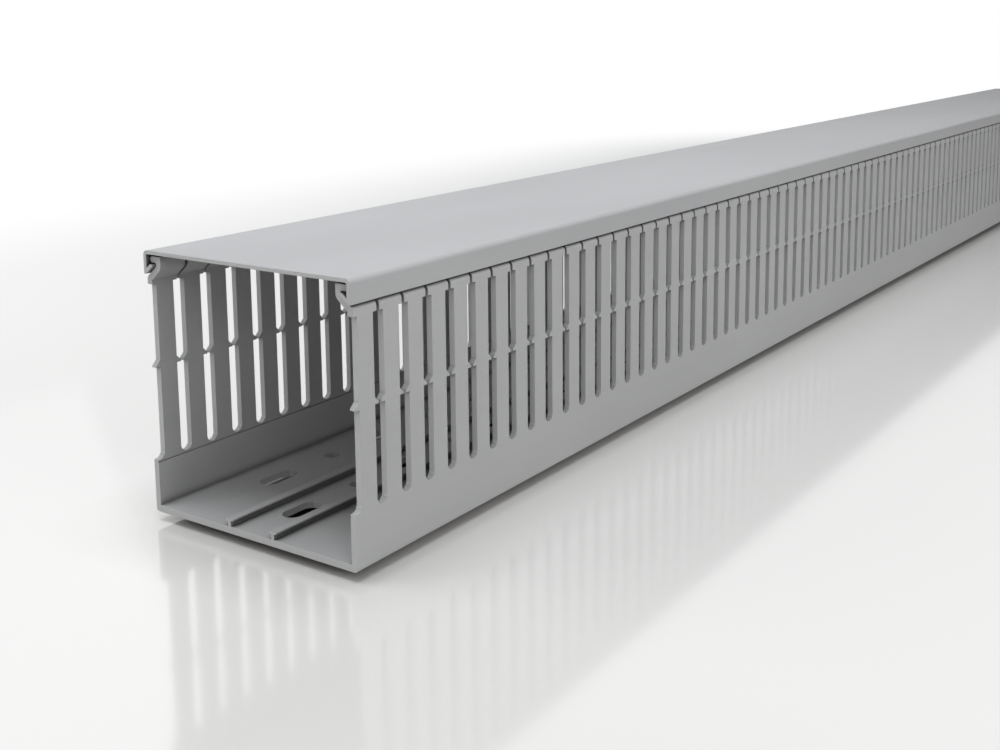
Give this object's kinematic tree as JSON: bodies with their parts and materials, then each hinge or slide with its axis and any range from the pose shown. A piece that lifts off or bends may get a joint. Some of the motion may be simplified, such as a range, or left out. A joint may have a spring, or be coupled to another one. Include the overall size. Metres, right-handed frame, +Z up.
{
  "type": "slotted wire duct",
  "caption": "Length of slotted wiring duct: a square plastic channel with finger walls for leading wires out, and a cover that hooks over the fingers.",
  "frame": {"origin": "middle of the underside, halfway along the length", "axes": "+Y along the length to the far end, +X across to the right wall, +Z up from the base to the cover"},
  "size_m": [0.08, 1, 0.08],
  "materials": {
    "duct_body": "mid grey extruded rigid PVC, silky matt, with fine draw lines along its length",
    "cover": "light grey extruded rigid PVC, silky matt, with fine draw lines along its length"
  },
  "bodies": {
    "duct": {"duct_body": "duct_body"},
    "cover": {"cover": "cover"}
  },
  "joints": [
    {"name": "cover_slide", "type": "slide", "parent": "duct", "child": "cover", "axis": [0, 1, 0], "range_m": [-0.95, 0.95]}
  ]
}
